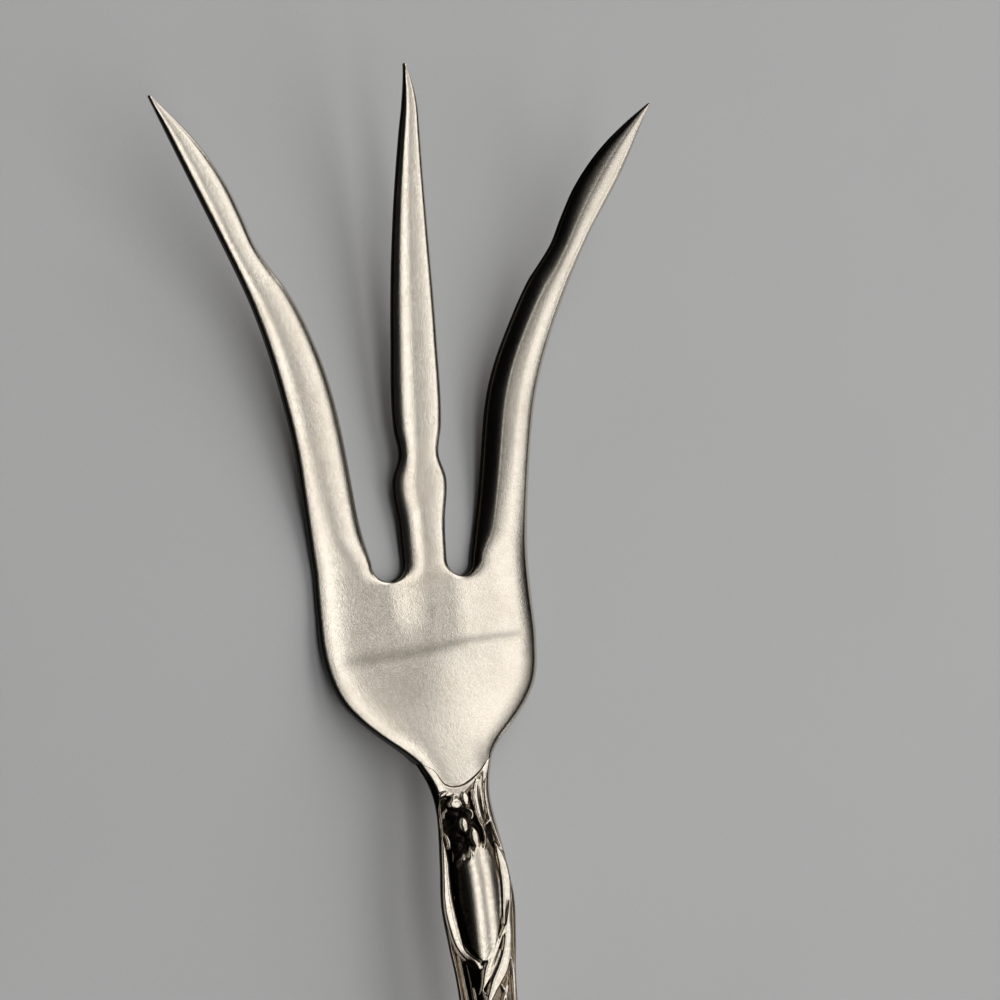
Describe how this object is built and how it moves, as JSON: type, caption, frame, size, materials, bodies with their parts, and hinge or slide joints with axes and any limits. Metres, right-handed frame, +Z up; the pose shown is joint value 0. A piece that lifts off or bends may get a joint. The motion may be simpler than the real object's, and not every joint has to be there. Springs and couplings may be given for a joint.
{
  "type": "serving fork",
  "caption": "Silver serving fork with splayed tines on a flat palm and a slender hollow handle with a floral relief, for lifting sliced food onto a plate.",
  "frame": {"origin": "centre of the fork's outline, on the surface that it lies on", "axes": "+Y towards the tips of the tines, +Z up out of the front of the fork, +X to the right as seen from the front"},
  "size_m": [0.06, 0.203, 0.0137],
  "materials": {
    "silver": "satin silver with fine scratches, darkened in the relief",
    "cement": "matt handle cement"
  },
  "bodies": {
    "root": {"fork_head": "silver", "handle_front_shell": "silver", "handle_back_shell": "silver", "handle_core": "cement"}
  },
  "joints": []
}
